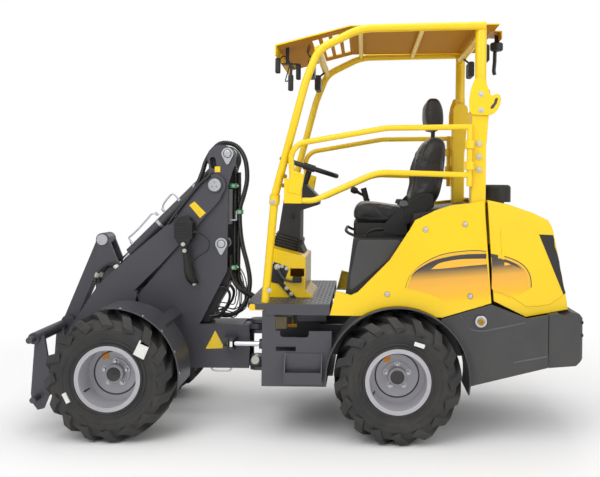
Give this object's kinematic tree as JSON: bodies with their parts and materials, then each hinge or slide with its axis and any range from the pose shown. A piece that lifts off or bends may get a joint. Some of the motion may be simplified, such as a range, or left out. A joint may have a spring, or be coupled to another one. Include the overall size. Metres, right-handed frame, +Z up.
{
  "type": "compact articulated wheel loader",
  "caption": "Compact wheel loader with an articulated frame, lugged tyres, a boom with a parallel linkage and tool carrier, an open driving place and a folding canopy.",
  "frame": {"origin": "on the ground, under the middle of the machine's bounding box", "axes": "+X forwards to the tool carrier, +Y to the machine's left, +Z up"},
  "size_m": [2.9166, 1.1, 2.1973],
  "materials": {
    "frame_grey": "satin",
    "body_yellow": "gloss",
    "dark_plastic": "matt",
    "deck_dark": "matt",
    "seat_cover": "matt",
    "tyre_rubber": "matt",
    "rim_silver": "satin",
    "pin_steel": "zinc",
    "rod_chrome": "polished",
    "engine_iron": "cast"
  },
  "bodies": {
    "rear_frame": {"rear_frame": "frame_grey", "rear_axle": "frame_grey", "deck": "deck_dark", "steps": "frame_grey", "side_panels": "body_yellow", "lower_covers": "dark_plastic", "counterweight": "frame_grey", "rear_mudguards": "dark_plastic", "engine_block": "engine_iron", "seat_box": "dark_plastic", "seat_pan": "dark_plastic", "seat_cushion": "seat_cover", "seat_back": "seat_cover", "armrest": "dark_plastic", "dash_box": "body_yellow", "column_cover": "dark_plastic", "front_posts": "body_yellow", "rear_posts": "body_yellow", "guard_hinges": "body_yellow"},
    "hood": {"hood": "body_yellow", "hood_grille": "dark_plastic", "hood_side_grilles": "dark_plastic", "air_cleaner": "dark_plastic"},
    "canopy": {"canopy_frame": "body_yellow", "roof": "body_yellow", "canopy_lamps": "dark_plastic"},
    "guard_left": {"guard_left": "body_yellow"},
    "guard_right": {"guard_right": "body_yellow"},
    "steering_wheel": {"steering_wheel": "dark_plastic"},
    "front_frame": {"front_frame": "frame_grey", "front_axle": "frame_grey", "front_mudguards": "frame_grey", "work_lamp": "dark_plastic"},
    "wheel_rear_left": {"tyre_rear_left": "tyre_rubber", "rim_rear_left": "rim_silver"},
    "wheel_rear_right": {"tyre_rear_right": "tyre_rubber", "rim_rear_right": "rim_silver"},
    "wheel_front_left": {"tyre_front_left": "tyre_rubber", "rim_front_left": "rim_silver"},
    "wheel_front_right": {"tyre_front_right": "tyre_rubber", "rim_front_right": "rim_silver"},
    "boom": {"boom": "frame_grey"},
    "lever_pin": {"lever_pin": "pin_steel"},
    "lever": {"lever": "frame_grey"},
    "link_pin": {"link_pin": "pin_steel"},
    "link": {"link": "frame_grey"},
    "carrier_pin": {"carrier_pin": "pin_steel"},
    "carrier": {"carrier": "frame_grey"},
    "lift_barrel": {"lift_barrel": "frame_grey"},
    "lift_rod": {"lift_rod": "rod_chrome"},
    "tilt_base_pin": {"tilt_base_pin": "pin_steel"},
    "tilt_barrel": {"tilt_barrel": "frame_grey"},
    "tilt_rod": {"tilt_rod": "rod_chrome"},
    "steer_barrel": {"steer_barrel": "frame_grey"},
    "steer_rod": {"steer_rod": "rod_chrome"}
  },
  "joints": [
    {"name": "steer", "type": "hinge", "parent": "rear_frame", "child": "front_frame", "pos_m": [0.31173, 0, 0], "axis": [0, 0, 1], "range_deg": [-40, 40]},
    {"name": "steering_wheel_turn", "type": "hinge", "parent": "rear_frame", "child": "steering_wheel", "pos_m": [0.02273, 0, 1.433], "axis": [-0.2924, 0, 0.9563], "continuous": true},
    {"name": "wheel_rear_left_spin", "type": "hinge", "parent": "rear_frame", "child": "wheel_rear_left", "pos_m": [-0.48327, 0.395, 0.332], "axis": [0, 1, 0], "continuous": true},
    {"name": "wheel_rear_right_spin", "type": "hinge", "parent": "rear_frame", "child": "wheel_rear_right", "pos_m": [-0.48327, -0.395, 0.332], "axis": [0, 1, 0], "continuous": true},
    {"name": "wheel_front_left_spin", "type": "hinge", "parent": "front_frame", "child": "wheel_front_left", "pos_m": [0.99673, 0.395, 0.332], "axis": [0, 1, 0], "continuous": true},
    {"name": "wheel_front_right_spin", "type": "hinge", "parent": "front_frame", "child": "wheel_front_right", "pos_m": [0.99673, -0.395, 0.332], "axis": [0, 1, 0], "continuous": true},
    {"name": "boom_lift", "type": "hinge", "parent": "front_frame", "child": "boom", "pos_m": [0.54873, 0, 1.324], "axis": [0, -1, 0], "range_deg": [0, 88]},
    {"name": "carrier_pin_turn", "type": "hinge", "parent": "boom", "child": "carrier_pin", "pos_m": [1.39373, 0, 0.195], "axis": [0, -1, 0], "range_deg": [-88, 0]},
    {"name": "carrier_tilt", "type": "hinge", "parent": "carrier_pin", "child": "carrier", "pos_m": [1.39373, 0, 0.195], "axis": [0, -1, 0], "range_deg": [-50, 5]},
    {"name": "lever_pin_turn", "type": "hinge", "parent": "boom", "child": "lever_pin", "pos_m": [1.20173, 0, 0.668], "axis": [0, -1, 0], "range_deg": [-88, 0]},
    {"name": "lever_turn", "type": "hinge", "parent": "lever_pin", "child": "lever", "pos_m": [1.20173, 0, 0.668], "axis": [0, -1, 0], "range_deg": [-50, 5]},
    {"name": "link_pin_turn", "type": "hinge", "parent": "lever", "child": "link_pin", "pos_m": [1.20473, 0, 1.003], "axis": [0, -1, 0], "range_deg": [-5, 50]},
    {"name": "link_turn", "type": "hinge", "parent": "link_pin", "child": "link", "pos_m": [1.20473, 0, 1.003], "axis": [0, -1, 0], "range_deg": [0, 88]},
    {"name": "lift_barrel_turn", "type": "hinge", "parent": "front_frame", "child": "lift_barrel", "pos_m": [0.51173, 0, 0.989], "axis": [0, -1, 0], "range_deg": [0, 80.7]},
    {"name": "lift_rod_slide", "type": "slide", "parent": "lift_barrel", "child": "lift_rod", "axis": [0.8362, 0, -0.5484], "range_m": [0, 0.4567]},
    {"name": "tilt_base_pin_turn", "type": "hinge", "parent": "front_frame", "child": "tilt_base_pin", "pos_m": [0.48173, 0, 1.504], "axis": [0, -1, 0], "range_deg": [0, 88]},
    {"name": "tilt_barrel_turn", "type": "hinge", "parent": "tilt_base_pin", "child": "tilt_barrel", "pos_m": [0.48173, 0, 1.504], "axis": [0, -1, 0], "range_deg": [-0.65, 6.5]},
    {"name": "tilt_rod_slide", "type": "slide", "parent": "tilt_barrel", "child": "tilt_rod", "axis": [0.7055, 0, -0.7087], "range_m": [-0.0125, 0.1209]},
    {"name": "steer_barrel_turn", "type": "hinge", "parent": "rear_frame", "child": "steer_barrel", "pos_m": [-0.03327, 0.17, 0.437], "axis": [0, 0, 1], "range_deg": [-9.6, 9.6]},
    {"name": "steer_rod_slide", "type": "slide", "parent": "steer_barrel", "child": "steer_rod", "axis": [0.9998, -0.0213, 0], "range_m": [-0.1095, 0.1095]},
    {"name": "canopy_fold", "type": "hinge", "parent": "rear_frame", "child": "canopy", "pos_m": [-0.90727, 0, 1.814], "axis": [0, -1, 0], "range_deg": [0, 80]},
    {"name": "guard_left_open", "type": "hinge", "parent": "rear_frame", "child": "guard_left", "pos_m": [-0.84527, 0.452, 1.332], "axis": [0, 0, 1], "range_deg": [0, 100]},
    {"name": "guard_right_open", "type": "hinge", "parent": "rear_frame", "child": "guard_right", "pos_m": [-0.84527, -0.452, 1.332], "axis": [0, 0, -1], "range_deg": [0, 100]},
    {"name": "hood_open", "type": "hinge", "parent": "rear_frame", "child": "hood", "pos_m": [-1.34927, 0, 0.704], "axis": [0, -1, 0], "range_deg": [0, 60]}
  ],
  "couplings": [
    {"joint": "carrier_pin_turn", "follows": "boom_lift", "ratio": -1},
    {"joint": "lever_pin_turn", "follows": "boom_lift", "ratio": -1},
    {"joint": "link_turn", "follows": "boom_lift", "ratio": 1},
    {"joint": "lift_barrel_turn", "follows": "boom_lift", "ratio": 0.917},
    {"joint": "lift_rod_slide", "follows": "boom_lift", "m_per_rad": 0.297},
    {"joint": "tilt_base_pin_turn", "follows": "boom_lift", "ratio": 1},
    {"joint": "lever_turn", "follows": "carrier_tilt", "ratio": 1},
    {"joint": "link_pin_turn", "follows": "carrier_tilt", "ratio": -1},
    {"joint": "tilt_barrel_turn", "follows": "carrier_tilt", "ratio": -0.13},
    {"joint": "tilt_rod_slide", "follows": "carrier_tilt", "m_per_rad": -0.138},
    {"joint": "steer_barrel_turn", "follows": "steer", "ratio": 0.24},
    {"joint": "steer_rod_slide", "follows": "steer", "m_per_rad": -0.156}
  ]
}
